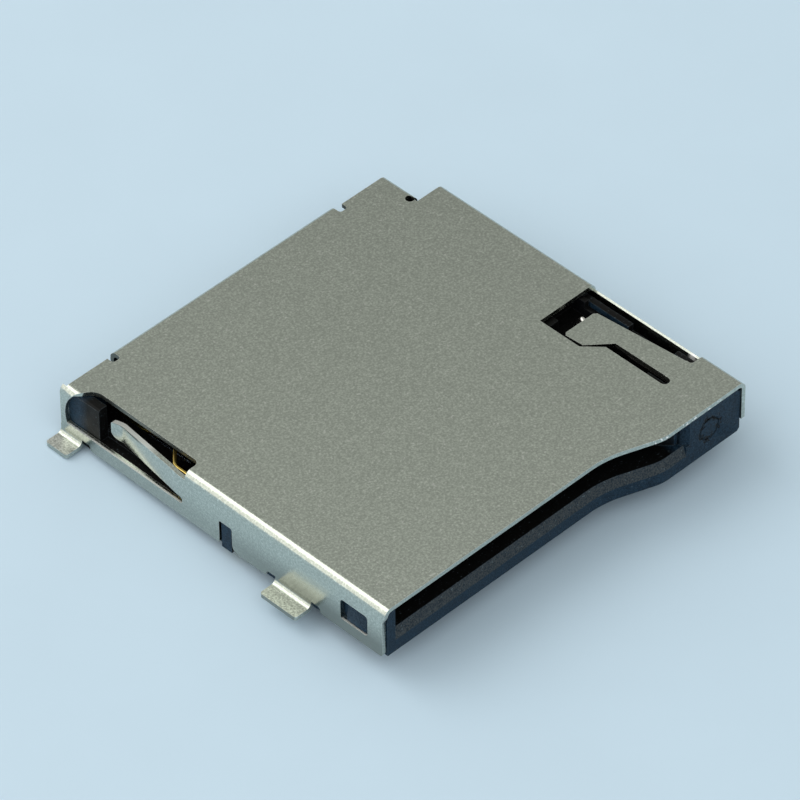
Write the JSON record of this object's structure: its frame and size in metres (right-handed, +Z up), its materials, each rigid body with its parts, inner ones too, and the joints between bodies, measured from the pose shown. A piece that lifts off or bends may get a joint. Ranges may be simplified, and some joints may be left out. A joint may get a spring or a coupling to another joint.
{
  "type": "memory card connector",
  "caption": "Low folded metal shell over a black moulded housing, with a wide card slot, a row of spring contacts, soldering tabs, and a push-push ejector with a cam slider and a coil spring.",
  "frame": {"origin": "middle of the shell's plate seen from above, on the plane of the circuit board that the housing sits on", "axes": "+X along the card mouth, to the right when looking into it; +Y into the slot, away from the mouth; +Z up, away from the board"},
  "size_m": [0.016, 0.0153, 0.0027],
  "materials": {
    "shell": "satin",
    "moulding": "fine matte",
    "slider": "fine matte",
    "contact": "gold plated",
    "wire": "bright drawn wire"
  },
  "bodies": {
    "frame": {"shell": "shell", "housing": "moulding", "contact_1": "contact", "contact_2": "contact", "contact_3": "contact", "contact_4": "contact", "contact_5": "contact", "contact_6": "contact", "contact_7": "contact", "contact_8": "contact", "detect_contact": "contact", "eject_spring": "wire"},
    "slider": {"slider": "slider"},
    "lock_pin": {"lock_pin": "wire"}
  },
  "joints": [
    {"name": "slider_travel", "type": "slide", "parent": "frame", "child": "slider", "axis": [0, 1, 0], "range_m": [0, 0.0022], "stiffness_N_per_m": 650, "springref_m": -0.0005, "deforming": ["eject_spring"]},
    {"name": "pin_swing", "type": "hinge", "parent": "frame", "child": "lock_pin", "pos_m": [0.00626, -0.0057, 0.0014], "axis": [0, 0, 1], "range_deg": [0, 14.67]}
  ],
  "couplings": [
    {"joint": "pin_swing", "follows": "slider_travel", "rad_per_m": 116.34}
  ]
}
